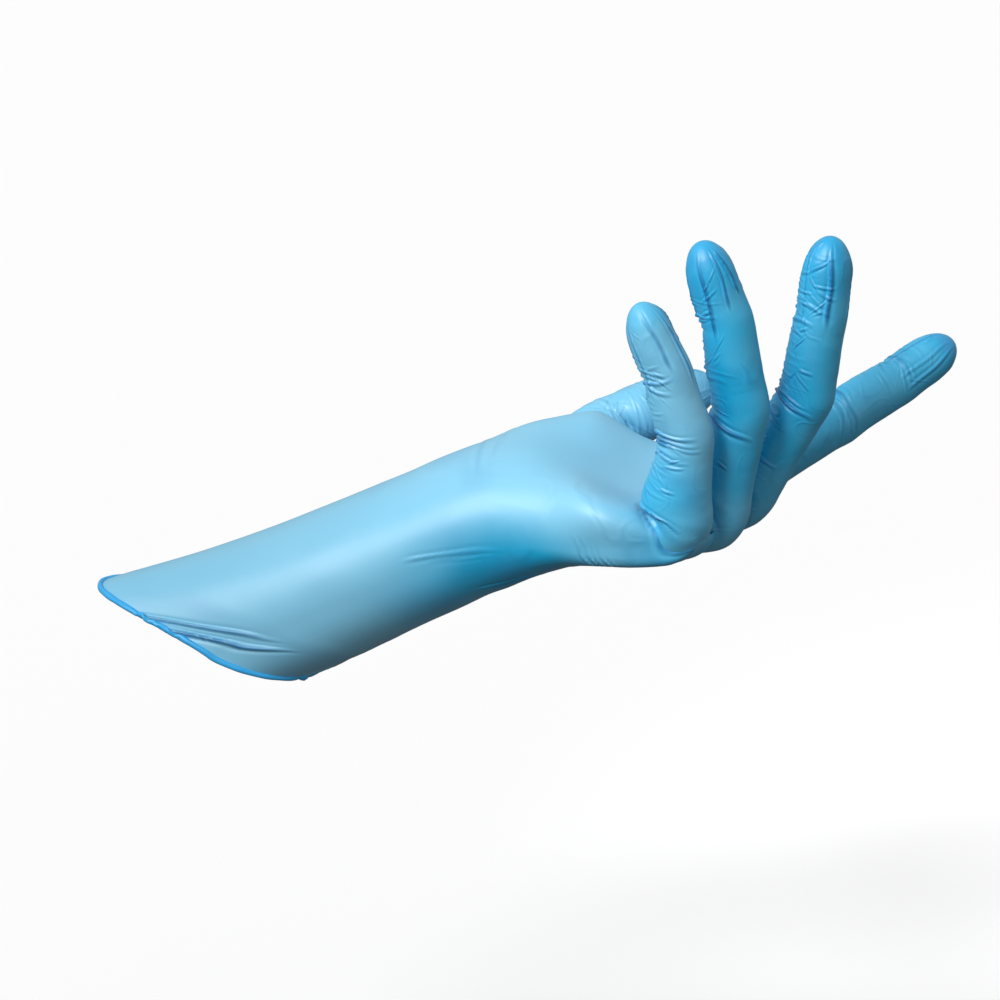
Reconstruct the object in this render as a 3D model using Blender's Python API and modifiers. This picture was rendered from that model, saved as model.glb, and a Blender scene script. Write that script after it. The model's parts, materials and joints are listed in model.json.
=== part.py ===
"""A long-cuffed disposable nitrile glove in the shape of the left hand that wears it.

The film is divided only where it bends: stiff-looking sections ride on the bodies of a
hand, and a soft knuckle section closes each bend.  Lengths are in millimetres.  The origin
is the middle of the cuff's opening, +X runs along the hand, +Y to the thumb, +Z to the palm side.
"""
import math

import bmesh
import bpy
from mathutils import Matrix, Vector

MM = 0.001

# the film
WALL = 0.6
GAP = 0.5
BEAD_RADIUS = 1.0

# the forearm part
SLEEVE_LENGTH = 114.0
SLEEVE_PITCH = 26.0
CUFF_SLANT = 31.0
CUFF_WIDTH = 68.0
CUFF_DEPTH = 56.0
WRIST_WIDTH = 60.0
WRIST_DEPTH = 46.0
WRIST_BEND = 13.0

# the palm
PALM_LENGTH = 55.0
PALM_WIDTH = 84.0
PALM_DEPTH = 38.0
PALM_EDGE_SKEW = 0.16
PALM_RISE = 0.14
# how flat the palm's oval is: one is an ellipse, and less is squarer
PALM_SQUARE = 0.85

# the stalls: knuckle place from the wrist (along, across, up), the three lengths,
# the pitch of each length above the horizontal, the spread, and the radii at
# knuckle, middle joint, end joint and tip
FINGERS = {
    "index": ((82, 32, 6), (42, 26, 26), (24, 24, 24), 32, (10.0, 9.4, 8.8, 7.8)),
    "middle": ((83, 11, 3), (47, 31, 26), (62, 82, 85), 0, (10.2, 9.9, 8.8, 7.7)),
    "ring": ((76, -11, 4), (43, 31, 29), (79, 100, 107), 0, (10.0, 9.6, 8.8, 7.6)),
    "little": ((66, -32, 7), (36, 23, 25), (88, 107, 116), 0, (9.4, 8.8, 7.8, 6.4)),
}
KNUCKLE_CUT = (3.0, 9.0)
MIDDLE_CUT = (2.0, 10.2)
END_CUT = (1.5, 6.0)
KNUCKLE_WIDTH = 20.2
KNUCKLE_DEPTH = 31.0

# the thumb: root inside the palm, base joint, end joint and tip, as lengths along from the
# wrist, outwards from the palm's side edge, and up from the wrist
THUMB_ROOT = (22, -20, 7)
THUMB_MOUTH = 0.5
THUMB_BASE = (30, 3, 15)
THUMB_JOINT = (52, 15, 25)
THUMB_TIP = (70, 24, 28)
THUMB_RADII = (11.5, 10.6, 9.4, 7.8)
THUMB_CUT = (2.0, 6.0)
THUMB_CURL = (0.0, -0.8, 0.6)

SECTORS = 14
WIDE_SECTORS = 28
TIP_RINGS = 3

SKY_BLUE = (0.13, 0.46, 0.73, 1.0)
BEAD_BLUE = (0.02, 0.33, 0.72, 1.0)


def direction(pitch, spread=0.0):
    """The way a length points, from its pitch above the horizontal and its spread."""
    f, s = math.radians(pitch), math.radians(spread)
    return Vector((math.cos(f) * math.cos(s), math.cos(f) * math.sin(s), math.sin(f)))


class Length:
    """One straight length of the hand: a start, an axis and the way its palm side faces."""

    def __init__(self, start, forward, side):
        self.start = Vector(start)
        self.forward = forward.normalized()
        self.side = side.normalized()
        self.palmar = self.forward.cross(self.side)

    def at(self, along, across=0.0, up=0.0):
        return self.start + self.forward * along + self.side * across + self.palmar * up


def ring(length, along, across, up, middle=(0.0, 0.0), sectors=SECTORS, square=1.0):
    """An oval of points round a length; along is a function of the palm-side share -1 to 1."""
    points = []
    for k in range(sectors):
        turn = 2 * math.pi * k / sectors
        y, z = math.sin(turn), math.cos(turn)
        y = math.copysign(abs(y) ** square, y)
        z = math.copysign(abs(z) ** square, z)
        place = along(y, z) if callable(along) else along
        points.append(length.at(place, middle[0] + across * y, middle[1] + up * z))
    return points


def cut(back, palm):
    """A slanted end: back on the knuckle side, palm on the side that folds."""
    return lambda y, z: back + (palm - back) * (1 + z) / 2


def between(a, b, share):
    return [p.lerp(q, share) for p, q in zip(a, b)]


def swelled(a, b, joint, share, sizes):
    """A ring between two others, held at least given distances from a joint's centre."""
    points = []
    for k, p in enumerate(between(a, b, share)):
        z = math.cos(2 * math.pi * k / len(a))
        least = sizes[0] + (sizes[1] - sizes[0]) * (1 + z) / 2
        away = p - joint
        points.append(joint + away.normalized() * max(away.length, least))
    return points


def material(name, colour, roughness):
    found = bpy.data.materials.get(name)
    if found:
        return found
    made = bpy.data.materials.new(name)
    made.use_nodes = True
    shader = made.node_tree.nodes["Principled BSDF"]
    shader.inputs["Base Color"].default_value = colour
    shader.inputs["Roughness"].default_value = roughness
    return made


def collection(name):
    made = bpy.data.collections.new(name)
    bpy.context.scene.collection.children.link(made)
    return made


def pivot(name, place, parent):
    """The empty that a body's pieces hang on, on its joint's axis."""
    made = bpy.data.objects.new(name, None)
    made.empty_display_size = 0.005
    PARTS.objects.link(made)
    PLACES[name] = Vector(place)
    made.location = PLACES[name] * MM
    if parent:
        made.parent = bpy.data.objects[parent]
        made.location -= PLACES[parent] * MM
    return made


def hang(made, body, finish):
    made.parent = bpy.data.objects[body]
    made.data.materials.append(finish)
    PARTS.objects.link(made)
    return made


def film(name, body, rings, closed=False):
    """A shell: a loft through rings of points, with the film's wall put on its inside."""
    mesh = bpy.data.meshes.new(name)
    work = bmesh.new()
    home = PLACES[body]
    loops = [[work.verts.new((p - home) * MM) for p in points] for points in rings]
    for a, b in zip(loops, loops[1:]):
        for k in range(len(a)):
            n = (k + 1) % len(a)
            work.faces.new((a[k], a[n], b[n], b[k]))
    if closed:
        work.faces.new(loops[-1])
        bmesh.ops.poke(work, faces=work.faces[-1:])
    bmesh.ops.recalc_face_normals(work, faces=work.faces)
    work.to_mesh(mesh)
    work.free()
    made = bpy.data.objects.new(name, mesh)
    wall = made.modifiers.new("wall", "SOLIDIFY")
    wall.thickness = WALL * MM
    wall.offset = -1
    return hang(made, body, material("nitrile film", SKY_BLUE, 0.45))


def sleeve():
    """The forearm tube, its slanted rim and the rolled bead that ends it."""
    arm = Length((0, 0, 0), direction(SLEEVE_PITCH), Vector((0, 1, 0)))
    stop = SLEEVE_LENGTH - WRIST_BEND

    def section(share):
        width = CUFF_WIDTH + (WRIST_WIDTH - CUFF_WIDTH) * share
        depth = CUFF_DEPTH + (WRIST_DEPTH - CUFF_DEPTH) * share
        return width / 2, depth / 2

    def rim(room):
        """The slanted rim, moved in so that it stays the room clear, square to its slope."""
        across, up = section(0)
        slant = lambda y, z: room * math.hypot(1, CUFF_SLANT * y / up) - CUFF_SLANT * z
        return ring(arm, slant, across, up, sectors=WIDE_SECTORS)

    start = rim(BEAD_RADIUS + GAP)
    across, up = section(1)
    end = ring(arm, stop, across, up, sectors=WIDE_SECTORS)
    film("sleeve", "sleeve_body", [between(start, end, k / 4) for k in range(5)])

    path = bpy.data.curves.new("cuff_bead", "CURVE")
    path.dimensions = "3D"
    spline = path.splines.new("POLY")
    points = rim(0)
    spline.points.add(len(points) - 1)
    for knot, p in zip(spline.points, points):
        knot.co = (*((p - PLACES["sleeve_body"]) * MM), 1)
    spline.use_cyclic_u = True
    path.bevel_depth = BEAD_RADIUS * MM
    path.bevel_resolution = 1
    made = bpy.data.objects.new("cuff_bead", path)
    hang(made, "sleeve_body", material("rolled bead", BEAD_BLUE, 0.35))
    return arm, end


def thumb_place(place):
    """A point of the thumb's line, which follows the palm's side edge."""
    along, out, up = place
    return WRIST + Vector((along, PALM_WIDTH / 2 + out, up))


def palm(arm, sleeve_end):
    """The palm shell with the thumb's hole, and the soft wrist section before it."""
    hand = Length(WRIST, Vector((1, 0, PALM_RISE)), Vector((0, 1, 0)))
    shares = (0.0, 0.3, 0.65, 1.0)
    rings = []
    for share in shares:
        width = WRIST_WIDTH + 2 + (PALM_WIDTH - WRIST_WIDTH - 2) * math.sin(share * math.pi / 2)
        depth = WRIST_DEPTH + (PALM_DEPTH - WRIST_DEPTH) * share
        start = WRIST_BEND + (PALM_LENGTH - WRIST_BEND) * share
        skew = PALM_EDGE_SKEW * share * width / 2
        along = lambda y, z, a=start, k=skew: a + k * y
        rings.append(ring(hand, along, width / 2, depth / 2, sectors=WIDE_SECTORS,
                          square=PALM_SQUARE))
    shell = film("palm", "palm_body", rings)

    root, base = thumb_place(THUMB_ROOT), thumb_place(THUMB_BASE)
    cutter = film_hole(root, base, THUMB_RADII[0] + GAP)
    hole = shell.modifiers.new("thumb hole", "BOOLEAN")
    hole.operation = "DIFFERENCE"
    hole.solver = "EXACT"
    hole.object = cutter

    inset = GAP * arm.forward
    first = [p + inset for p in sleeve_end]
    last = [p - GAP * hand.forward for p in rings[0]]
    soft = [between(first, last, k / 4) for k in range(5)]
    film("wrist_section", "sleeve_body", soft)
    return hand


def film_hole(root, base, radius):
    """The cylinder that cuts the palm where the thumb's base leaves it, and reaches past it."""
    way = (base - root).normalized()
    bpy.ops.mesh.primitive_cylinder_add(vertices=SECTORS, radius=radius * MM,
                                        depth=PALM_WIDTH * MM)
    made = bpy.context.object
    made.name = "thumb_cutter"
    for owner in list(made.users_collection):
        owner.objects.unlink(made)
    CUTTERS.objects.link(made)
    turn = Vector((0, 0, 1)).rotation_difference(way).to_matrix().to_4x4()
    made.matrix_world = Matrix.Translation((root + way * PALM_WIDTH / 2) * MM) @ turn
    made.hide_render = True
    made.display_type = "WIRE"
    return made


def stall(length, span, start, end, radii):
    """The rings of one stiff section, between two slanted ends, tapering from end to end."""
    first = ring(length, cut(*start), radii[0], radii[0])
    far = lambda y, z: span - cut(*end)(y, z)
    last = ring(length, far, radii[1], radii[1])
    return [first, between(first, last, 0.5), last]


def tip(length, span, start, radii):
    """The rings of a fingertip, which round off as a half ellipse past its last straight ring."""
    first = ring(length, cut(*start), radii[0], radii[0])
    dome = 1.2 * radii[1]
    rings = [first, ring(length, span - dome, radii[1], radii[1])]
    for k in range(1, TIP_RINGS + 1):
        turn = math.pi / 2 * k / (TIP_RINGS + 0.4)
        size = radii[1] * math.cos(turn)
        rings.append(ring(length, span - dome * (1 - math.sin(turn)), size, size))
    return rings


def soft_joint(name, body, before, after, joint, sizes, gap_before, gap_after):
    """A soft section over a joint, from the end of one stiff section to the start of the next."""
    first = [p + gap_before for p in before]
    last = [p - gap_after for p in after]
    middle = [swelled(first, last, joint, share, sizes) for share in (0.25, 0.5, 0.75)]
    film(name, body, [first, *middle, last])


def finger(name, hand):
    place, spans, pitches, spread, radii = FINGERS[name]
    across = direction(0, spread + 90)
    start = WRIST + Vector(place)
    lengths = []
    for span, pitch in zip(spans, pitches):
        lengths.append(Length(start, direction(pitch, spread), across))
        start = lengths[-1].at(span)
    near, mid, far = lengths
    bodies = [f"{name}_{part}" for part in ("near_body", "mid_body", "tip_body")]
    for body, length, parent in zip(bodies, lengths, ["palm_body", *bodies]):
        pivot(body, length.start, parent)
        JOINTS[body] = (length, parent)

    near_rings = stall(near, spans[0], KNUCKLE_CUT, MIDDLE_CUT, radii[0:2])
    mid_rings = stall(mid, spans[1], MIDDLE_CUT, END_CUT, radii[1:3])
    tip_rings = tip(far, spans[2], END_CUT, radii[2:4])
    film(f"{name}_near_stall", bodies[0], near_rings)
    film(f"{name}_mid_stall", bodies[1], mid_rings)
    film(f"{name}_tip", bodies[2], tip_rings, closed=True)

    half = KNUCKLE_WIDTH / 2
    edge = PALM_LENGTH + PALM_EDGE_SKEW * place[1] + 2 * GAP
    lift = place[2] * edge / place[0] - PALM_RISE * edge
    skewed = lambda y, z: edge + PALM_EDGE_SKEW * half * y
    mouth = ring(hand, skewed, half, KNUCKLE_DEPTH / 2, (place[1], lift))
    soft_joint(f"{name}_knuckle", "palm_body", mouth, near_rings[0], near.start,
               (radii[0] + 1, radii[0] - 1), Vector(), GAP * near.forward)
    soft_joint(f"{name}_mid_joint", bodies[0], near_rings[-1], mid_rings[0], mid.start,
               (radii[1] + 0.4, 0.85 * radii[1]), GAP * near.forward, GAP * mid.forward)
    soft_joint(f"{name}_end_joint", bodies[1], mid_rings[-1], tip_rings[0], far.start,
               (radii[2] + 0.2, 0.9 * radii[2]), GAP * mid.forward, GAP * far.forward)


def thumb():
    root, base, joint, end = map(thumb_place, (THUMB_ROOT, THUMB_BASE, THUMB_JOINT, THUMB_TIP))
    lengths = []
    for a, b in ((root, base), (base, joint), (joint, end)):
        forward = (b - a).normalized()
        lengths.append(Length(a, forward, Vector(THUMB_CURL).cross(forward)))
    foot, near, far = lengths
    pivot("thumb_near_body", base, "palm_body")
    pivot("thumb_tip_body", joint, "thumb_near_body")
    JOINTS["thumb_near_body"] = (near, "palm_body")
    JOINTS["thumb_tip_body"] = (far, "thumb_near_body")
    near_span, far_span = (joint - base).length, (end - joint).length
    near_rings = stall(near, near_span, THUMB_CUT, THUMB_CUT, THUMB_RADII[1:3])
    tip_rings = tip(far, far_span, THUMB_CUT, THUMB_RADII[2:4])
    film("thumb_near_stall", "thumb_near_body", near_rings)
    film("thumb_tip", "thumb_tip_body", tip_rings, closed=True)
    mouth = ring(foot, (base - root).length * THUMB_MOUTH, THUMB_RADII[0], THUMB_RADII[0])
    last = [p - GAP * near.forward for p in near_rings[0]]
    film("thumb_root", "palm_body", [mouth, between(mouth, last, 0.5), last])
    soft_joint("thumb_end_joint", "thumb_near_body", near_rings[-1], tip_rings[0], far.start,
               (THUMB_RADII[2] + 0.3, 0.9 * THUMB_RADII[2]),
               GAP * near.forward, GAP * far.forward)


for old in list(bpy.data.objects):
    bpy.data.objects.remove(old)

PARTS = collection("parts")
CUTTERS = collection("cutters")
PLACES = {}
JOINTS = {}
WRIST = direction(SLEEVE_PITCH) * SLEEVE_LENGTH

pivot("sleeve_body", (0, 0, 0), None)
pivot("palm_body", WRIST, "sleeve_body")
arm_length, arm_end = sleeve()
hand_length = palm(arm_length, arm_end)
JOINTS["palm_body"] = (hand_length, "sleeve_body")
for finger_name in FINGERS:
    finger(finger_name, hand_length)
thumb()
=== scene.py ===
"""A long-cuffed disposable nitrile glove, empty, in the shape of the left hand that wears it.

Lengths in the tables are millimetres.  +X runs along the hand, +Y to the thumb and +Z to the
palm side.
"""
import json
import math

import bpy
import numpy as np
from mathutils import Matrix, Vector


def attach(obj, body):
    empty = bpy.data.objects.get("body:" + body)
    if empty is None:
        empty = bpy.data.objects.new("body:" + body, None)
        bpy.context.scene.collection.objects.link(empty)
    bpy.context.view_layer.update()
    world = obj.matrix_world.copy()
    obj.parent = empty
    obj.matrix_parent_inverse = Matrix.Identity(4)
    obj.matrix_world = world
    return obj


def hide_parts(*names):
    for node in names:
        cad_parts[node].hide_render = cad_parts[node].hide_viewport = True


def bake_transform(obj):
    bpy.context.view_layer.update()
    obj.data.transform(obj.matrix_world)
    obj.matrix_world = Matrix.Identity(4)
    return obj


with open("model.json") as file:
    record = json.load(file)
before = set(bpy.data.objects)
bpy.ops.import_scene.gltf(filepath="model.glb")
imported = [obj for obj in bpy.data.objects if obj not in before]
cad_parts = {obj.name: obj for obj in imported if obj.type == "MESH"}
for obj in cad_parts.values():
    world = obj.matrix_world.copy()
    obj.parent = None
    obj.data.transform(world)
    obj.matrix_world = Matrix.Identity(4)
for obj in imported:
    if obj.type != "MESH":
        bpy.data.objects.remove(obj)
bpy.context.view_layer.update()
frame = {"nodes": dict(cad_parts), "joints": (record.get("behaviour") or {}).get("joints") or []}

MM = 0.001
FILM = 0.25
TINY = 1e-9
FAR_AWAY = 99.0
BODY_JOINT = {joint["child"]: joint for joint in frame["joints"]}
ARM_PITCH = 26.0
HAND_RISE = 0.14
ACROSS = np.array((0.0, 1.0, 0.0))


# ---------------------------------------------------------------- small geometry

def unit(vectors):
    """Vectors along the last axis, each divided by its own length."""
    return vectors / np.linalg.norm(vectors, axis=-1, keepdims=True)


def joint_place(body):
    """Where a body's joint is, in millimetres."""
    return np.array(BODY_JOINT[body]["pos_m"]) / MM


def joint_side(body):
    """The way a finger's joints point, towards the thumb's side."""
    return -unit(np.array(BODY_JOINT[body]["axis"], float))


def far_point(node, origin):
    """The point of a CAD node that is furthest from an origin, in millimetres."""
    mesh = frame["nodes"][node].data
    points = np.empty(len(mesh.vertices) * 3)
    mesh.vertices.foreach_get("co", points)
    points = points.reshape(-1, 3) / MM
    return points[np.argmax(np.linalg.norm(points - origin, axis=1))]


def ease(low, high, x):
    """Nought below low, one above high, and the smooth cubic 3t^2 - 2t^3 between them."""
    t = np.clip((x - low) / (high - low), 0, 1)
    return t * t * (3 - 2 * t)


def bell(x, middle, width):
    """A bump of height one: e to the minus square of the distance from middle over width."""
    return np.exp(-(((x - middle) / width) ** 2))


def turn_from(phi, middle):
    """The angle from middle to phi, the short way round, from minus pi to pi."""
    return (phi - middle + math.pi) % (2 * math.pi) - math.pi


def smooth_read(values, at, stations, window):
    """Values given at some places, read at each station and averaged over a window of that
    half-width: straight runs stay as they are and corners round off."""
    spread = np.linspace(-1, 1, 25)
    places = stations[:, None] + np.asarray(window)[:, None] * spread
    values = np.atleast_2d(np.asarray(values, float).T)
    read = [np.interp(places, at, row).mean(axis=1) for row in values]
    return np.array(read).T.squeeze()


def held_value(values, starts, stations, window):
    """One value for each bone, stepped from bone to bone and averaged over a window."""
    spread = np.linspace(-1, 1, 25)
    places = stations[:, None] + np.asarray(window)[:, None] * spread
    bone = np.clip(np.searchsorted(starts, places, side="right") - 1, 0, len(values) - 1)
    return np.asarray(values, float)[bone].mean(axis=1)


def soft_noise(x, phi, cell, cells_round, seed):
    """Smooth noise from minus one to one on a tube: random numbers on a grid of cells, closed
    round the tube, joined by the smooth cubic both ways."""
    rng = np.random.default_rng(seed)
    table = rng.uniform(-1, 1, (512, cells_round))
    u = np.asarray(x) / cell % 512
    v = np.asarray(phi) / (2 * math.pi) * cells_round % cells_round
    i, j = np.floor(u).astype(int), np.floor(v).astype(int)
    a, b = ease(0, 1, u - i), ease(0, 1, v - j)
    i, j = i % 512, j % cells_round
    near, far = (i + 1) % 512, (j + 1) % cells_round
    return (table[i, j] * (1 - a) * (1 - b) + table[near, j] * a * (1 - b)
            + table[i, far] * (1 - a) * b + table[near, far] * a * b)


def groove(off):
    """A fold's section: a hollow of depth one at nought with a lip on both sides."""
    return 0.5 * (bell(off, 1.5, 0.9) + bell(off, -1.5, 0.9)) - bell(off, 0, 0.8)


def crease(x, phi, at, middle, reach, tilt, depth, width):
    """One fold across the film: a groove along the line x = at + tilt * angle, a little wavy,
    that fades out as its angle from the middle nears reach."""
    angle = turn_from(phi, middle)
    line = at + tilt * angle + 0.5 * width * np.sin(4 * angle + 7 * at)
    fade = np.clip(1 - (angle / reach) ** 2, 0, 1) ** 1.2
    return depth * fade * groove((x - line) / width)


def tuck(x, phi, start, end, angle, drift, depth, width):
    """One fold that runs along the film: a groove at an angle round the tube, moving by drift
    from its start to its end, where it fades out; width is an angle."""
    share = (x - start) / (end - start)
    off = turn_from(phi, angle + drift * share + 0.4 * width * np.sin(9 * share)) / width
    fade = ease(0, 0.2, share) * ease(0, 0.35, 1 - share)
    return depth * fade * groove(off)


def crumple(x, phi, cell, cells_round, seed, line):
    """A net of thin wandering folds: grooves along the lines where smooth noise is nought,
    which come and go with a second, wider noise."""
    net = groove(soft_noise(x, phi, cell, cells_round, seed) / line)
    patches = ease(-0.25, 0.35, soft_noise(x, phi, 2.2 * cell, max(2, cells_round // 2), seed + 1))
    return net * patches


# ---------------------------------------------------------------- film meshes

POLE_RISE = 0.02


class Skin:
    """A grid of rings round a middle line, that is cut into pieces along the line.

    rings[i, k] is the point of ring i at angle k.  The angle is nought on the palm side and
    grows towards the thumb's side.  The last ring of a pointed skin closes in a pole."""

    def __init__(self, rings, station, phi, stretch_and_painted_light, pointed):
        self.pointed = pointed
        self.rings = rings
        self.station = station
        self.s = station[:, None]
        self.phi = phi
        self.stretch_and_painted_light = stretch_and_painted_light
        self.shade = np.zeros(rings.shape[:2])
        self.normals = self.find_normals()

    def find_normals(self):
        """The cross product of the grid's two central differences, which points outwards."""
        along = np.gradient(self.rings, axis=0)
        around = np.roll(self.rings, -1, axis=1) - np.roll(self.rings, 1, axis=1)
        return unit(np.cross(around, along) + 0.001 * TINY)

    def push(self, height):
        """Moves every point outwards by a height in millimetres."""
        self.rings = self.rings + height[..., None] * self.normals
        self.normals = self.find_normals()

    def fold(self, depth, full):
        """Moves every point outwards by its fold's depth, which is negative in a hollow, and paints
        shade into the hollows as a darker colour; full is the depth where that painted shade is
        darkest."""
        self.push(depth)
        self.shade = np.maximum(self.shade, np.clip(-depth / full, 0, 1))

    def ring_at(self, place):
        return int(np.argmin(np.abs(self.station - place)))

    def piece(self, name, first, last):
        """The film from ring first to ring last, as an outer and an inner wall with rims."""
        rings = self.rings[first:last + 1]
        normals = self.normals[first:last + 1]
        count, around = rings.shape[:2]
        closed = self.pointed and last >= len(self.rings) - 1
        walls = [rings.reshape(-1, 3), (rings - FILM * normals).reshape(-1, 3)]
        faces_normals = [normals.reshape(-1, 3), -normals.reshape(-1, 3)]
        stretch_and_painted_light = [self.stretch_and_painted_light[first:last + 1].ravel()] * 2
        shade = [self.shade[first:last + 1].ravel()] * 2
        row = np.arange(count - 1)[:, None] * around
        col = np.arange(around)[None]
        nxt = (col + 1) % around
        quads = np.stack([row + col, row + nxt, row + around + nxt, row + around + col], -1)
        quads = quads.reshape(-1, 4)
        inner = count * around
        sheets = [quads, quads[:, ::-1] + inner]
        start = np.arange(around)
        after = (start + 1) % around
        sheets.append(np.stack([start, start + inner, after + inner, after], -1))
        end = start + inner - around
        end_after = after + inner - around
        fans = []
        if closed:
            centre = rings[-1].mean(axis=0)
            way = unit(centre - rings[-3].mean(axis=0))
            walls += [[centre + POLE_RISE * way], [centre - (FILM - POLE_RISE) * way]]
            faces_normals += [[way], [-way]]
            stretch_and_painted_light.append(self.stretch_and_painted_light[-1, :1].repeat(2))
            shade.append(self.shade[-1, :1].repeat(2))
            pole = np.full(around, 2 * inner)
            fans = [np.stack([end, end_after, pole], -1),
                    np.stack([end_after + inner, end + inner, pole + 1], -1)]
        else:
            sheets.append(np.stack([end, end_after, end_after + inner, end + inner], -1))
        made = mesh_piece(name, np.concatenate(walls), sheets, fans, np.concatenate(faces_normals))
        point_value(made, "stretch_and_painted_light", np.concatenate(stretch_and_painted_light))
        point_value(made, "shade", np.concatenate(shade))
        return made


def mesh_piece(name, points, quads, fans=(), normals=None):
    """A mesh object at the origin from points in millimetres, four-sided and three-sided faces."""
    quads = np.concatenate(quads)
    fans = np.concatenate(fans) if len(fans) else np.empty((0, 3), int)
    mesh = bpy.data.meshes.new(name)
    mesh.vertices.add(len(points))
    mesh.vertices.foreach_set("co", (np.asarray(points) * MM).astype(np.float32).ravel())
    corners = np.concatenate([quads.ravel(), fans.ravel()]).astype(np.int32)
    sizes = np.concatenate([np.full(len(quads), 4), np.full(len(fans), 3)])
    starts = np.concatenate([[0], np.cumsum(sizes)[:-1]]).astype(np.int32)
    mesh.loops.add(len(corners))
    mesh.loops.foreach_set("vertex_index", corners)
    mesh.polygons.add(len(sizes))
    mesh.polygons.foreach_set("loop_start", starts)
    mesh.update(calc_edges=True)
    mesh.validate()
    mesh.shade_smooth()
    if normals is not None:
        mesh.normals_split_custom_set_from_vertices(np.asarray(normals, float).tolist())
    made = bpy.data.objects.new(name, mesh)
    bpy.context.scene.collection.objects.link(made)
    return made


def point_value(made, name, values):
    attribute = made.data.attributes.new(name, "FLOAT", "POINT")
    attribute.data.foreach_set("value", np.asarray(values, np.float32))


# ---------------------------------------------------------------- finishes

def linear(code):
    """An sRGB hex colour as linear light, by the sRGB curve."""
    parts = [int(code[k:k + 2], 16) / 255 for k in (1, 3, 5)]
    return (*[c / 12.92 if c <= 0.04045 else ((c + 0.055) / 1.055) ** 2.4 for c in parts], 1.0)


def add_node(tree, kind, settings=None, links=None, **fields):
    """Adds a node: fields are its properties, settings its sockets, links its incoming wires."""
    node = tree.nodes.new(kind)
    for name, value in fields.items():
        setattr(node, name, value)
    for name, value in (settings or {}).items():
        node.inputs[name].default_value = value
    for name, source in (links or {}).items():
        tree.links.new(source, node.inputs[name])
    return node


def new_material(name):
    made = bpy.data.materials.new(name)
    made.use_nodes = True
    made.node_tree.nodes.clear()
    return made, made.node_tree


def dipped_nitrile():
    """Dipped nitrile rubber film, sky blue and matt: slack film is deeper in colour and stretched
    film is paler and greyer; the same value also carries painted shade under the wrist and painted
    light on the palm and the little finger, and painted shade deepens the bottoms of its folds."""
    made, tree = new_material("dipped nitrile film")
    place = add_node(tree, "ShaderNodeTexCoord").outputs["Object"]
    stretch_and_painted_light = add_node(tree, "ShaderNodeAttribute", attribute_name="stretch_and_painted_light").outputs["Fac"]
    shade = add_node(tree, "ShaderNodeAttribute", attribute_name="shade").outputs["Fac"]
    stretch_light_ramp = add_node(tree, "ShaderNodeValToRGB", links={"Fac": stretch_and_painted_light})
    stops = stretch_light_ramp.color_ramp.elements
    stops[0].color, stops[1].color = linear(SLACK_BLUE), linear(STRETCHED_BLUE)
    stops.new(0.4).color = linear(WORN_BLUE)
    cloud = add_node(tree, "ShaderNodeTexNoise", {"Scale": 28.0, "Detail": 3.0},
                     {"Vector": place})
    blotch = add_node(tree, "ShaderNodeMapRange",
                      {"From Min": 0.35, "From Max": 0.65, "To Min": 0.0, "To Max": 0.07},
                      {"Value": cloud.outputs["Fac"]})
    skin = add_node(tree, "ShaderNodeMix", {"B": linear(TINT)},
                    {"Factor": blotch.outputs[0], "A": stretch_light_ramp.outputs["Color"]},
                    data_type="RGBA")
    # painted shade: the bottoms of folds are mixed towards a deep blue by the shade value
    deep = add_node(tree, "ShaderNodeMix", {"B": linear(FOLD_SHADE_BLUE)},
                    {"Factor": shade, "A": skin.outputs["Result"]}, data_type="RGBA")
    grain = add_node(tree, "ShaderNodeTexNoise", {"Scale": 900.0, "Detail": 2.0},
                     {"Vector": place})
    crinkle = add_node(tree, "ShaderNodeTexNoise",
                       {"Scale": 190.0, "Detail": 4.0, "Distortion": 0.6}, {"Vector": place})
    slack = add_node(tree, "ShaderNodeMapRange",
                     {"From Min": 0.0, "From Max": 0.7, "To Min": 0.35, "To Max": 0.03},
                     {"Value": stretch_and_painted_light})
    fine = add_node(tree, "ShaderNodeBump", {"Strength": 0.10, "Distance": 0.0001},
                    {"Height": grain.outputs["Fac"]})
    bump = add_node(tree, "ShaderNodeBump", {"Distance": 0.0006},
                    {"Height": crinkle.outputs["Fac"], "Strength": slack.outputs[0],
                     "Normal": fine.outputs["Normal"]})
    rough = add_node(tree, "ShaderNodeMapRange",
                     {"From Min": 0.3, "From Max": 0.7, "To Min": 0.36, "To Max": 0.48},
                     {"Value": cloud.outputs["Fac"]})
    shader = add_node(tree, "ShaderNodeBsdfPrincipled",
                      {"IOR": 1.5, "Specular IOR Level": 0.62, "Sheen Weight": 0.02,
                       "Sheen Roughness": 0.4},
                      {"Base Color": deep.outputs["Result"], "Roughness": rough.outputs[0],
                       "Normal": bump.outputs["Normal"]})
    add_node(tree, "ShaderNodeOutputMaterial", links={"Surface": shader.outputs["BSDF"]})
    return made


def rolled_nitrile():
    """The bead: many turns of the same film rolled up, so its blue is deep and it shines more."""
    made, tree = new_material("rolled nitrile bead")
    place = add_node(tree, "ShaderNodeTexCoord").outputs["Object"]
    cloud = add_node(tree, "ShaderNodeTexNoise", {"Scale": 160.0, "Detail": 3.0},
                     {"Vector": place})
    mix = add_node(tree, "ShaderNodeMix", {"A": linear(BEAD_BLUE), "B": linear(BEAD_LIGHT)},
                   {"Factor": cloud.outputs["Fac"]}, data_type="RGBA")
    bump = add_node(tree, "ShaderNodeBump", {"Strength": 0.15, "Distance": 0.0003},
                    {"Height": cloud.outputs["Fac"]})
    shader = add_node(tree, "ShaderNodeBsdfPrincipled",
                      {"IOR": 1.5, "Roughness": 0.34, "Specular IOR Level": 0.5},
                      {"Base Color": mix.outputs["Result"], "Normal": bump.outputs["Normal"]})
    add_node(tree, "ShaderNodeOutputMaterial", links={"Surface": shader.outputs["BSDF"]})
    return made


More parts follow.
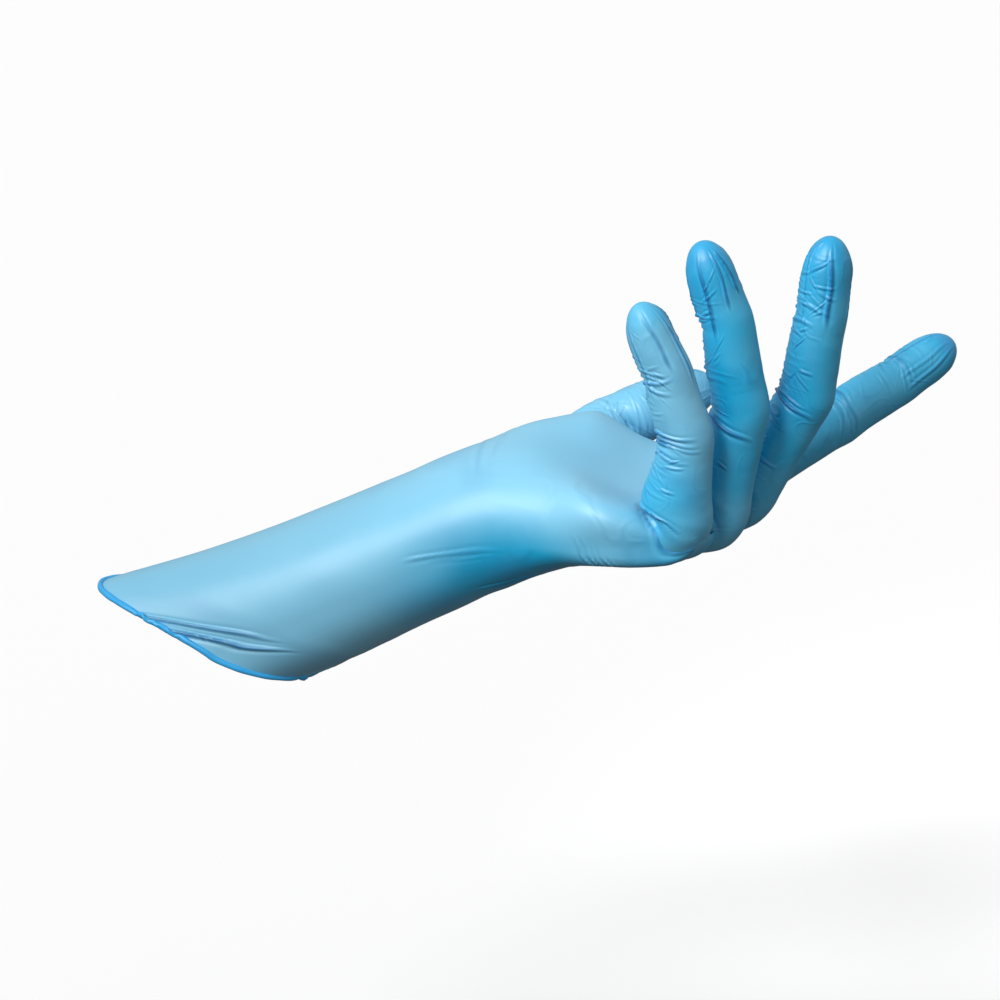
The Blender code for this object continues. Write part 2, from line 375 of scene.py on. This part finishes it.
SLACK_BLUE = "#1093CB"
WORN_BLUE = "#10A4D2"
STRETCHED_BLUE = "#7DBEDB"
TINT = "#A6DCEF"
# painted shade in the bottoms of folds
FOLD_SHADE_BLUE = "#0670AC"
BEAD_BLUE = "#1C9ADF"
BEAD_LIGHT = "#3DB4EC"
NITRILE = dipped_nitrile()
BEAD = rolled_nitrile()


def finish(made, material):
    made.data.materials.append(material)
    return made


# ---------------------------------------------------------------- forearm, wrist and palm

WRIST = joint_place("palm_body")
ARM = np.array((math.cos(math.radians(ARM_PITCH)), 0, math.sin(math.radians(ARM_PITCH))))
HAND = unit(np.array((1.0, 0.0, HAND_RISE)))
ARM_LENGTH = float(np.linalg.norm(WRIST))
CUFF_SLANT = 31.0
FINGERS = ("little", "ring", "middle", "index")
KNUCKLES = np.array([joint_place(f"{name}_near_body") for name in FINGERS])

BODY_AROUND = 256
BODY_STEP = 1.1
HAND_LENGTH = 84.0
HAND_DOME = 13.0

# stations from the wrist, then half width, palm-side depth, back depth
BODY_SECTIONS = np.array((
    (-150, 34, 33, 25),
    (-110, 34, 32, 25.5),
    (-88, 33.5, 28, 25.5),
    (-70, 32.5, 25.5, 25.2),
    (-35, 31, 24, 24.2),
    (0, 31, 24.5, 22.8),
    (18, 35, 24, 17.5),
    (35, 40, 19, 11.2),
    (52, 43.0, 13.8, 7.8),
    (62, 43.0, 12.0, 8.4),
    (72, 42.5, 11.0, 9.4),
    (90, 42.0, 10.5, 9.6),
))

# how far the thumb's pad stands up from the palm, at stations from the wrist
THUMB_PAD = np.array(((-40, 0), (-12, 0), (0, 2), (8, 6), (20, 10), (32, 15.5), (38, 12),
                      (44, 5), (50, 0.5), (90, 0)))


def body_skin():
    """The forearm, wrist and palm as one grid.  A ring at a station is a superellipse across the
    middle line, of power 2.3 that grows to 4 at the knuckles.  The cuff's end is slanted, the
    hand's end follows the knuckles' row, and smooth bumps add the thumb's pad and root, the
    little finger's pad and the hollow of the palm.  The hand's end narrows to a closed slit as
    a half ellipse."""
    straight = np.arange(-ARM_LENGTH, HAND_LENGTH - HAND_DOME, BODY_STEP)
    turn = np.linspace(0, math.pi / 2, 22)[:-1]
    station = np.concatenate([straight, HAND_LENGTH - HAND_DOME * (1 - np.sin(turn))])
    count = len(station)
    phi = np.linspace(0, 2 * math.pi, BODY_AROUND, endpoint=False)[None]
    line = np.array((WRIST - ARM * 200, WRIST, WRIST + HAND * 120))
    window = np.full(count, 16.0)
    middle = smooth_read(line, (-200, 0, 120), station, window)
    forward = unit(np.gradient(middle, axis=0))
    side = np.broadcast_to(ACROSS, forward.shape)
    palm_way = unit(np.cross(forward, side))
    read = smooth_read(BODY_SECTIONS[:, 1:], BODY_SECTIONS[:, 0], station, np.full(count, 7.0))
    wide, palm_deep, back_deep = read[:, 0:1], read[:, 1:2], read[:, 2:3]
    s = station[:, None]

    power = 2 / (2.3 + 1.7 * ease(25, 62, s))
    y = np.sign(np.sin(phi)) * np.abs(np.sin(phi)) ** power
    z = np.sign(np.cos(phi)) * np.abs(np.cos(phi)) ** power
    past = np.clip((s - HAND_LENGTH + HAND_DOME) / HAND_DOME, 0, 1)
    cap = np.sqrt(1 - past ** 2) + 0.01
    deep = np.where(z > 0, palm_deep, back_deep)

    rise = smooth_read(THUMB_PAD[:, 1], THUMB_PAD[:, 0], station, np.full(count, 3.0))[:, None]
    thumb_pad = rise * bell(turn_from(phi, 0.95), 0, 0.6)
    thumb_side = 8.0 * bell(s, 24, 17) * bell(turn_from(phi, 1.7), 0, 0.6)
    little_pad = 6.5 * bell(s, 48, 20) * bell(turn_from(phi, -0.8), 0, 0.5)
    hollow = -3.0 * bell(s, 48, 16) * bell(turn_from(phi, -0.05), 0, 0.4)
    tendon = 0.8 * bell(s, -30, 40) * bell(turn_from(phi, 0.0), 0, 0.3)
    radial = thumb_pad + thumb_side + little_pad + hollow + tendon
    across = (wide * y + radial * np.sin(phi)) * (0.88 + 0.12 * cap)
    up = (deep * z + radial * np.cos(phi)) * cap

    row_x = np.interp(across, KNUCKLES[:, 1], KNUCKLES[:, 0] - WRIST[0])
    row_z = np.interp(across, KNUCKLES[:, 1], KNUCKLES[:, 2] - WRIST[2])
    share = ease(0, 74, s)
    along = share * (row_x - 77)
    lift = share * (row_z - HAND_RISE * 77)

    cuff = 1 - ease(-ARM_LENGTH, -30, s)
    slant = cuff * (5 * np.sin(phi) ** 2 - CUFF_SLANT * np.cos(phi))
    pinch = bell(s, -ARM_LENGTH - 6, 46) * (0.5 + 0.5 * np.cos(phi)) ** 2
    across = across * (1 - 0.5 * pinch)

    rings = (middle[:, None] + side[:, None] * across[..., None]
             + palm_way[:, None] * (up + lift)[..., None]
             + forward[:, None] * (along + slant)[..., None])

    # stretched film is paler; the palm is kept as pale as the sleeve partly for its stretch and
    # partly as painted light that falls on it from above
    stretch_and_painted_light = 0.98 - 0.40 * ease(48, 76, s) + 0 * phi
    # painted shade: the patch on the little finger's side of the wrist, towards the back, is pushed
    # towards the slack blue where shade falls
    underside_shade = bell(s, 6, 42) * bell(turn_from(phi, -1.94), 0, 0.65)
    stretch_and_painted_light = stretch_and_painted_light - 0.74 * underside_shade
    stretch_and_painted_light = stretch_and_painted_light + 0.05 * soft_noise(s, phi, 26, 7, 5)
    return Skin(rings, station, phi, stretch_and_painted_light, pointed=False)


# where the arcs round the little finger's root are centred, and the radii of the deep one and
# of the small ones
ARC_CENTRE = WRIST + np.array((67, -42, 24))
DEEP_ARC = 14.0
SMALL_ARCS = (11.7, 9.6, 7.7, 5.8, 4.0)

# folds that run from the pinched cuff: angle, length, drift, depth and width
CUFF_TUCKS = (
    (-0.80, 26, -0.95, 0.8, 0.045),
    (-1.05, 24, -0.88, 1.0, 0.050),
    (-0.92, 15, -0.80, 0.5, 0.035),
    (0.75, 28, 0.80, 1.1, 0.055),
    (1.15, 24, 0.75, 1.0, 0.060),
    (2.60, 22, 0.30, 0.5, 0.050),
    (-2.55, 20, -0.30, 0.6, 0.050),
)

# long shallow folds at the wrist: start, end, angle, drift, depth and width
WRIST_TUCKS = (
    (-32, 6, -1.38, -0.27, 0.34, 0.026),
    (-24, 4, -1.50, -0.20, 0.22, 0.020),
    (-14, 22, -2.20, -0.20, 0.40, 0.028),
    (-8, 18, -2.30, -0.16, 0.26, 0.022),
    (-20, 16, 2.10, 0.24, 0.34, 0.028),
    (-12, 12, 1.90, 0.20, 0.26, 0.024),
)

# cross folds at the wrist: place, middle angle, reach, tilt, depth and width
WRIST_CREASES = (
    (6, 0.3, 0.6, 3, 0.20, 0.9),
    (0, 0.1, 0.7, -2, 0.22, 1.0),
)


def root_arcs(skin):
    """The folds round the little finger's root: a deep arc and smaller ones inside it, at set
    distances from a point on the finger's outer side, all on the side of the forearm."""
    away = skin.rings - ARC_CENTRE
    far = np.linalg.norm(away, axis=2) + 0.01
    mask = ease(0.1, 0.6, -away[..., 0] / far) * ease(-0.2, 0.4, -skin.normals[..., 1]
                                                       + 0.5 * skin.normals[..., 2])
    wave = 0.25 * np.sin(9 * np.arctan2(away[..., 2], -away[..., 0]))
    depth = groove((far - DEEP_ARC + wave) / 0.75)
    for k, radius in enumerate(SMALL_ARCS):
        depth = depth + (0.5 - 0.05 * k) * groove((far - radius + (k % 2 - 0.5) * wave) / 0.55)
    return mask * depth


def body_folds(skin, little_gap):
    """Folds of the forearm, wrist and palm: low tension folds that run from the pinched cuff,
    long shallow ones at the wrist, short slanted ones on the little finger's pad, and the arcs
    round the little finger's root, which keep a set gap from its stall."""
    s, phi = skin.s, skin.phi
    depth = 0.35 * soft_noise(s, phi, 34, 6, 1) + 0.15 * soft_noise(s, phi, 12, 12, 2)
    depth = depth * ease(-ARM_LENGTH, -ARM_LENGTH + 30, s)
    edge = -ARM_LENGTH
    for angle, length, *rest in CUFF_TUCKS:
        depth = depth + tuck(s, phi, edge - 6, edge + length, angle, *rest)
    for row in WRIST_TUCKS:
        depth = depth + tuck(s, phi, *row)
    for row in WRIST_CREASES:
        depth = depth + crease(s, phi, *row)
    for k in range(5):
        depth = depth + crease(s, phi, 41 + 3.2 * k, -1.72 - 0.03 * k, 0.40 - 0.03 * k, -9,
                               0.40 - 0.04 * k, 1.0)
    near = np.clip(1 - (turn_from(phi, -1.0) / 1.5) ** 2, 0, 1) ** 0.7
    depth = depth + 0.6 * near * groove((little_gap - 0.7) / 0.6) + root_arcs(skin)
    depth = depth + 0.10 * crumple(s, phi, 11, 16, 8, 0.14) * ease(-10, 30, s)
    return depth


# ---------------------------------------------------------------- fingers and thumb

STALL_AROUND = 128
CROSSING_FOLDS = 34
STALL_STEP = 0.4
ROOT = 26.0
ROOT_SPREAD = 0.005
THUMB_ROOT = WRIST + np.array((2, 18, 2))

# radii at the root, at each joint and at the tip; dorsal knuckle bump; how deep
# its folds are; the size along and the number round of its crumpled patches; how stretched
# the film is; and a seed for the small folds
STALLS = {
    "index": ((6.5, 10.0, 9.2, 8.6, 7.8), 0.3, 0.8, (9, 11), 0.42, 31),
    "middle": ((6.5, 10.2, 9.5, 8.7, 7.6), 0.8, 1.6, (5, 9), 0.36, 32),
    "ring": ((6.5, 10.5, 9.6, 8.7, 7.6), 2.0, 1.7, (6, 8), 0.36, 33),
    "little": ((6.5, 10.5, 9.1, 8.2, 6.7), 1.8, 1.35, (6, 8), 0.42, 34),
    "thumb": ((8.5, 12.0, 9.5, 8.0), 0.5, 0.5, (8, 8), 0.85, 35),
}


def bones(name):
    """The finger's corner points from its root inside the palm to its tip, and each bone's side."""
    if name == "thumb":
        base, joint = joint_place("thumb_near_body"), joint_place("thumb_tip_body")
        end = far_point("thumb_tip", joint)
        corners = np.array((THUMB_ROOT, base, joint, end))
        sides = [joint_side("thumb_near_body")] * 2 + [joint_side("thumb_tip_body")]
        return corners, np.array(sides)
    places = [joint_place(f"{name}_{part}_body") for part in ("near", "mid", "tip")]
    end = far_point(f"{name}_tip", places[2])
    back = HAND + ROOT_SPREAD * (places[0][1] - WRIST[1]) * ACROSS
    root = places[0] - ROOT * unit(back)
    side = joint_side(f"{name}_near_body")
    return np.array((root, *places, end)), np.array((ACROSS, side, side, side))


def stall_skin(name):
    """One finger's film: rings of radius given at the joints round the smoothed line of its
    bones, rounded off at the tip as a half ellipse, with pads on the palm side and a bump on
    the back of each joint."""
    corners, sides = bones(name)
    radii, bump, _, _, stretch, seed = STALLS[name]
    steps = np.linalg.norm(np.diff(corners, axis=0), axis=1)
    marks = np.concatenate([[0], np.cumsum(steps)])
    total = marks[-1]
    knuckle, joints = marks[1], marks[2:-1]
    dome = 1.6 * radii[-1]
    straight = np.arange(0, total - dome, STALL_STEP)
    turn = np.linspace(0, math.pi / 2, 40)[1:-1]
    station = np.concatenate([straight, total - dome + dome * np.sin(turn)])
    window = 6.0 + 5.5 * bell(station, knuckle, 14)
    window = np.minimum(window, np.maximum(total - station - 1, 0.01) * 0.6)
    middle = smooth_read(corners, marks, station, window)
    side = held_value(sides, marks[:-1], station, window)
    forward = unit(np.gradient(middle, axis=0))
    side = unit(side - forward * (side * forward).sum(axis=1, keepdims=True))
    palm_way = np.cross(forward, side)

    s = station[:, None]
    phi = np.linspace(0, 2 * math.pi, STALL_AROUND, endpoint=False)[None]
    radius = smooth_read(np.array(radii), marks, station, np.full(len(station), 6.0))[:, None]
    cap = np.sqrt(np.clip(1 - np.clip((s - (total - dome)) / dome, 0, 1) ** 2.15, 0, 1))

    palm_side = 0.5 + 0.5 * np.cos(phi)
    back_side = 1 - palm_side
    shape = bump * bell(s, knuckle, 8) * back_side ** 1.5
    if name == "little":
        shape = shape + 3.8 * bell(s, knuckle + 12, 10) * palm_side ** 2
    for k, joint in enumerate(joints):
        shape = shape + (0.8 - 0.4 * k) * bell(s, joint, 5) * back_side ** 2
        shape = shape - 0.4 * bell(s, joint, 2.6) * palm_side ** 2
    edges = np.concatenate([[knuckle + 8], joints, [total - 4]])
    for low, high in zip(edges, edges[1:]):
        shape = shape + 0.4 * bell(s, (low + high) / 2, (high - low) * 0.33) * palm_side ** 1.5
    reach = (radius + shape) * cap
    rings = (middle[:, None] + side[:, None] * (reach * np.sin(phi))[..., None]
             + palm_way[:, None] * (0.98 * reach * np.cos(phi))[..., None])

    stretch_and_painted_light = stretch + 0.22 * bell(s, knuckle, 14) * back_side + 0 * phi
    if name == "little":
        # painted light: the little finger's film is made paler along its outer part, where light
        # falls on it
        stretch_and_painted_light = stretch_and_painted_light + 0.34 * ease(knuckle + 14, knuckle + 44, s)
    stretch_and_painted_light = stretch_and_painted_light + 0.12 * back_side * ease(total - 8, total - 22, s)
    stretch_and_painted_light = stretch_and_painted_light - (0.30 if name == "index" else 0.14) * ease(total - 10, total - 5, s)
    stretch_and_painted_light = stretch_and_painted_light + 0.07 * soft_noise(s, phi, 9, 5, seed + 60)
    made = Skin(rings, station, phi, np.clip(stretch_and_painted_light, 0, 1), pointed=True)
    made.marks = marks
    made.foot = made.ring_at(knuckle + 18)
    made.line, made.size = middle[:made.foot:6], reach.mean(axis=1)[:made.foot:6]
    return made


def stall_folds(name, skin):
    """Folds of a stall: close cross folds on the palm side that are deepest at the joints and
    fall towards the knuckle on both sides, short crossing ones, crumpled patches, and slack
    tucks along the tip."""
    _, _, amount, (cell, cells_round), _, seed = STALLS[name]
    rng = np.random.default_rng(seed)
    s, phi = skin.s, skin.phi
    knuckle, joints, total = skin.marks[1], skin.marks[2:-1], skin.marks[-1]
    palm_side = 0.5 + 0.5 * np.cos(phi)
    sag = 2.2 * (1 - np.cos(phi))
    depth = 0.10 * soft_noise(s, phi, 7, 6, seed) + 0.05 * soft_noise(s, phi, 2.6, 13, seed + 9)
    depth = depth * ease(knuckle - 12, knuckle, s)
    at = knuckle + 4.0
    while at < total - 14:
        near = min(abs(at - joint) for joint in (knuckle + 9, *joints))
        size = amount * (0.14 + 0.25 * math.exp(-(near / 6) ** 2)) * rng.uniform(0.5, 1.3)
        depth = depth + crease(s + sag, phi, at, rng.uniform(-0.9, 0.9), rng.uniform(0.6, 1.3),
                               rng.uniform(-1.8, 1.8), size, rng.uniform(0.4, 0.8))
        at += rng.uniform(1.9, 3.6)
    for k, joint in enumerate(joints):
        for _ in range(5 - 2 * k):
            depth = depth + crease(s + sag, phi, joint + rng.uniform(-3.5, 4.5),
                                   rng.choice((-0.6, 0.6)), rng.uniform(1.2, 1.8),
                                   rng.uniform(-1.2, 1.2),
                                   amount * rng.uniform(0.35, 0.6) / (1 + k),
                                   rng.uniform(0.55, 0.95))
    for k in range(7):
        depth = depth + tuck(s, phi, total - rng.uniform(20, 34), total - 1,
                             -2.6 + 0.85 * k + rng.uniform(-0.25, 0.25), rng.uniform(-0.4, 0.4),
                             amount * rng.uniform(0.25, 0.5), rng.uniform(0.05, 0.10))
    for _ in range(CROSSING_FOLDS):
        depth = depth + crease(s, phi, rng.uniform(knuckle + 8, total - 6),
                               rng.choice((-1, 1)) * rng.uniform(0.1, 1.7),
                               rng.uniform(0.2, 0.55), rng.uniform(-13, 13),
                               amount * rng.uniform(0.12, 0.30), rng.uniform(0.35, 0.6))
    patches = 0.13 * palm_side ** 0.5 * ease(knuckle + 8, knuckle + 24, s)
    depth = depth + amount * patches * crumple(s, phi, cell, cells_round, seed + 20, 0.13)
    if name == "little":
        depth = depth + root_arcs(skin)
    return depth * ease(total, total - 4, s) ** 0.5


# ---------------------------------------------------------------- films that meet

def gap_to_stall(points, ways, stall):
    """How far points are outside a stall, the distance from its middle line less its radius for
    the place on the line where that is least, and the cosine between the two films there."""
    flat = points.reshape(-1, 3)
    away = np.linalg.norm(flat[:, None] - stall.line[None], axis=2)
    near = (away - stall.size).argmin(axis=1)
    gap = (away - stall.size)[np.arange(len(flat)), near]
    out = unit(flat - stall.line[near] + TINY)
    facing = (out * ways.reshape(-1, 3)).sum(axis=1)
    return gap.reshape(points.shape[:-1]), facing.reshape(points.shape[:-1])


def gap_to_body(points, ways, body):
    """How far points are outside the palm, and the cosine between the two films there: the
    height over the nearest point of its grid, joined with any distance beside that point
    that is more than the grid's own steps."""
    first = body.ring_at(-10)
    grid = body.rings[first::2, ::2].reshape(-1, 3).astype(np.float32)
    out = body.normals[first::2, ::2].reshape(-1, 3)
    gaps, facings = [], []
    flat = np.concatenate([points, ways], axis=-1).reshape(-1, 6)
    for part in np.array_split(flat, 8):
        place, way = part[:, :3], part[:, 3:]
        near = ((grid ** 2).sum(axis=1) - 2 * place.astype(np.float32) @ grid.T).argmin(axis=1)
        offset = place - grid[near]
        height = (offset * out[near]).sum(axis=1)
        beside = np.maximum((offset ** 2).sum(axis=1) - height ** 2 - GRID_REACH ** 2, 0)
        gaps.append(np.where(height < 0, -1, 1) * np.sqrt(height ** 2 + beside))
        facings.append((way * out[near]).sum(axis=1))
    shape = points.shape[:-1]
    return np.concatenate(gaps).reshape(shape), np.concatenate(facings).reshape(shape)


def web(gap, facing, reach):
    """How far a film rises where another film crosses it, so that they meet in a smooth web:
    (reach - distance)^2 / (4 * reach), which is nought where the two run side by side, less a
    little where it is inside the other."""
    rise = np.maximum(reach - np.abs(gap), 0) ** 2 / (4 * reach)
    return rise * ease(0.0, 0.8, 1 - facing) - 0.3 * ease(0.2, -1.5, gap) * ease(-7, -4, gap)


WEB_REACH = {"index": 7.0, "middle": 7.0, "ring": 7.0, "little": 7.0, "thumb": 13.0}
WEB_LIMITS = (-0.6, 3.2)
GRID_REACH = 1.7
FADE_RINGS = 24
# fold depths at which the painted shade in the hollows is darkest
BODY_FULL_SHADE_DEPTH = 1.1
STALL_FULL_SHADE_DEPTH = 0.55


def join_films(body, stalls):
    """Raises the palm's film and the stalls' roots where they meet, then adds every fold."""
    on_body = {name: gap_to_stall(body.rings, body.normals, stall)
               for name, stall in stalls.items()}
    on_stall = {}
    for name, stall in stalls.items():
        gap, facing = np.full((2, *stall.rings.shape[:2]), FAR_AWAY)
        gap[:stall.foot], facing[:stall.foot] = gap_to_body(
            stall.rings[:stall.foot], stall.normals[:stall.foot], body)
        on_stall[name] = gap, facing
    rises = [web(*pair, WEB_REACH[name]) for name, pair in on_body.items()]
    body.push(np.clip(sum(rises), *WEB_LIMITS))
    body.fold(body_folds(body, on_body["little"][0]), BODY_FULL_SHADE_DEPTH)
    for name, stall in stalls.items():
        fade = ease(stall.foot - 2, stall.foot - FADE_RINGS, np.arange(len(stall.s)))[:, None]
        stall.push(web(*on_stall[name], WEB_REACH[name]) * fade)
        stall.fold(stall_folds(name, stall), STALL_FULL_SHADE_DEPTH)


def build_stall(name, skin):
    """Cuts a finger's film half-way along each bone and lays each part across one joint."""
    marks = skin.marks
    thumb = name == "thumb"
    parts = ("near", "tip") if thumb else ("near", "mid", "tip")
    corners, _ = bones(name)
    cuts = [0, *[skin.ring_at((a + b) / 2) for a, b in zip(marks[1:], marks[2:-1])],
            len(skin.station) - 1]
    nodes = {
        "near": [f"{name}_root", f"{name}_near_stall"] if thumb
        else [f"{name}_knuckle", f"{name}_near_stall"],
        "mid": [f"{name}_mid_joint", f"{name}_mid_stall"],
        "tip": [f"{name}_end_joint", f"{name}_tip"],
    }
    for k, part in enumerate(parts):
        made = finish(skin.piece(f"{name}_{part}_film", cuts[k], cuts[k + 1]), NITRILE)
        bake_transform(made)
        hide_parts(*nodes[part])


def build_body(skin):
    stops = (0, skin.ring_at(-30), skin.ring_at(26), len(skin.station) - 1)
    sleeve = finish(skin.piece("sleeve_film", stops[0], stops[1]), NITRILE)
    wrist = finish(skin.piece("wrist_film", stops[1], stops[2]), NITRILE)
    palm = finish(skin.piece("palm_film", stops[2], stops[3]), NITRILE)
    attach(sleeve, "sleeve_body")
    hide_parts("sleeve")
    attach(palm, "palm_body")
    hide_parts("palm")
    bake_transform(wrist)
    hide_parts("wrist_section")


# ---------------------------------------------------------------- bead

BEAD_RADIUS = 1.1
BEAD_AROUND = 32


def build_bead(skin):
    """The rolled bead: a round cord carried along the film's first ring, a little flattened and
    wavy, as film that rolled itself up, with the line where the roll's last turn lies."""
    path = skin.rings[0]
    along = unit(np.roll(path, -1, axis=0) - np.roll(path, 1, axis=0))
    out = unit(skin.normals[0] - along * (skin.normals[0] * along).sum(axis=1, keepdims=True))
    cross = np.cross(along, out)
    phi = np.linspace(0, 2 * math.pi, len(path), endpoint=False)[:, None]
    turn = np.linspace(0, 2 * math.pi, BEAD_AROUND, endpoint=False)[None]
    twist = turn + 3 * phi
    seam = turn_from(turn, 0.5 + 0.7 * np.sin(phi + 0.8) + 0.15 * np.sin(7 * phi))
    size = BEAD_RADIUS * (1 + 0.08 * np.cos(2 * twist) + 0.04 * np.sin(23 * phi))
    size = size * (1 - 0.32 * bell(seam, 0, 0.28))
    centre = path - 0.5 * FILM * skin.normals[0]
    rings = (centre[:, None] + out[:, None] * (size * np.cos(turn))[..., None]
             + cross[:, None] * (size * np.sin(turn))[..., None])
    count = len(path)
    row, col = np.arange(count)[:, None], np.arange(BEAD_AROUND)[None]
    below, nxt = (row + 1) % count, (col + 1) % BEAD_AROUND
    quads = np.stack([row * BEAD_AROUND + col, row * BEAD_AROUND + nxt,
                      below * BEAD_AROUND + nxt, below * BEAD_AROUND + col], -1)
    made = mesh_piece("cuff_bead_roll", rings.reshape(-1, 3), [quads.reshape(-1, 4)])
    finish(made, BEAD)
    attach(made, "sleeve_body")
    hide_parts("cuff_bead")


# ---------------------------------------------------------------- camera, light and floor

VIEW_AZIMUTH = 8.0
VIEW_ELEVATION = 20.0
VIEW_DISTANCE = 1.2
VIEW_WIDTH = 0.35
AIM_RISE = 0.0045
SENSOR = 36.0

SUN_STRENGTH = 2.15
SUN_ANGLE = 0.7
SUN_WAY = (-0.52, -0.50, 0.70)
HAND_LIGHT_WATTS = 21.0
HAND_LIGHT_CONE = 17
HAND_LIGHT_SIZE = 0.12
HAND_FROM_WRIST = (0.070, 0.0, 0.035)
LIGHT_FROM_HAND = (-0.20, -0.50, 0.48)
FLOOR_SIZE = 40
FLOOR_LEVEL = -0.22


def set_camera():
    """A long lens that looks at the wrist from the little finger's side, a little from above."""
    a, e = math.radians(VIEW_AZIMUTH), math.radians(VIEW_ELEVATION)
    back = np.array((math.sin(a) * math.cos(e), -math.cos(a) * math.cos(e), math.sin(e)))
    right = np.array((math.cos(a), math.sin(a), 0))
    up = np.cross(back, right)
    aim = WRIST * MM + AIM_RISE * up
    data = bpy.data.cameras.new("camera")
    data.sensor_width = SENSOR
    data.lens = SENSOR * VIEW_DISTANCE / VIEW_WIDTH
    data.clip_start = 0.01
    camera = bpy.data.objects.new("camera", data)
    camera.location = aim + back * VIEW_DISTANCE
    camera.rotation_euler = (math.pi / 2 - e, 0, a)
    bpy.context.scene.collection.objects.link(camera)
    bpy.context.scene.camera = camera


def set_stage():
    """A white room with one broad soft light high on the left, a weaker soft one on the hand,
    and a plain pale floor well below the glove.  The floor sends no light back up, so that
    undersides stay in shade."""
    world = bpy.data.worlds.new("white surround")
    world.use_nodes = True
    tree = world.node_tree
    way = add_node(tree, "ShaderNodeTexCoord").outputs["Generated"]
    height = add_node(tree, "ShaderNodeSeparateXYZ", links={"Vector": way}).outputs["Z"]
    glow = add_node(tree, "ShaderNodeMapRange",
                    {"From Min": -0.5, "From Max": 0.3, "To Min": 0.09, "To Max": 0.54},
                    {"Value": height})
    tree.nodes["Background"].inputs["Color"].default_value = (1, 1, 1, 1)
    tree.links.new(glow.outputs[0], tree.nodes["Background"].inputs["Strength"])
    bpy.context.scene.world = world

    data = bpy.data.lights.new("soft light", "SUN")
    data.energy = SUN_STRENGTH
    data.angle = SUN_ANGLE
    light = bpy.data.objects.new("soft light", data)
    light.rotation_euler = Vector(SUN_WAY).to_track_quat("Z", "Y").to_euler()
    bpy.context.scene.collection.objects.link(light)

    data = bpy.data.lights.new("hand light", "SPOT")
    data.energy = HAND_LIGHT_WATTS
    data.spot_size = math.radians(HAND_LIGHT_CONE)
    data.spot_blend = 1.0
    data.shadow_soft_size = HAND_LIGHT_SIZE
    light = bpy.data.objects.new("hand light", data)
    hand = Vector(WRIST * MM) + Vector(HAND_FROM_WRIST)
    from_hand = Vector(LIGHT_FROM_HAND)
    light.location = hand + from_hand
    light.rotation_euler = from_hand.to_track_quat("Z", "Y").to_euler()
    bpy.context.scene.collection.objects.link(light)

    bpy.ops.mesh.primitive_plane_add(size=FLOOR_SIZE)
    floor = bpy.context.object
    floor.name = "floor"
    floor.location = (0, 0, FLOOR_LEVEL)
    floor.visible_diffuse = False
    floor.visible_glossy = False
    made, tree = new_material("white painted floor")
    shader = add_node(tree, "ShaderNodeBsdfPrincipled",
                      {"Base Color": (0.97, 0.97, 0.97, 1), "Roughness": 1.0,
                       "Specular IOR Level": 0.0})
    add_node(tree, "ShaderNodeOutputMaterial", links={"Surface": shader.outputs["BSDF"]})
    floor.data.materials.append(made)
    bpy.context.scene.view_settings.view_transform = "Standard"


set_camera()
set_stage()
body_film = body_skin()
stall_films = {name: stall_skin(name) for name in STALLS}
join_films(body_film, stall_films)
build_body(body_film)
build_bead(body_film)
for stall, film in stall_films.items():
    build_stall(stall, film)
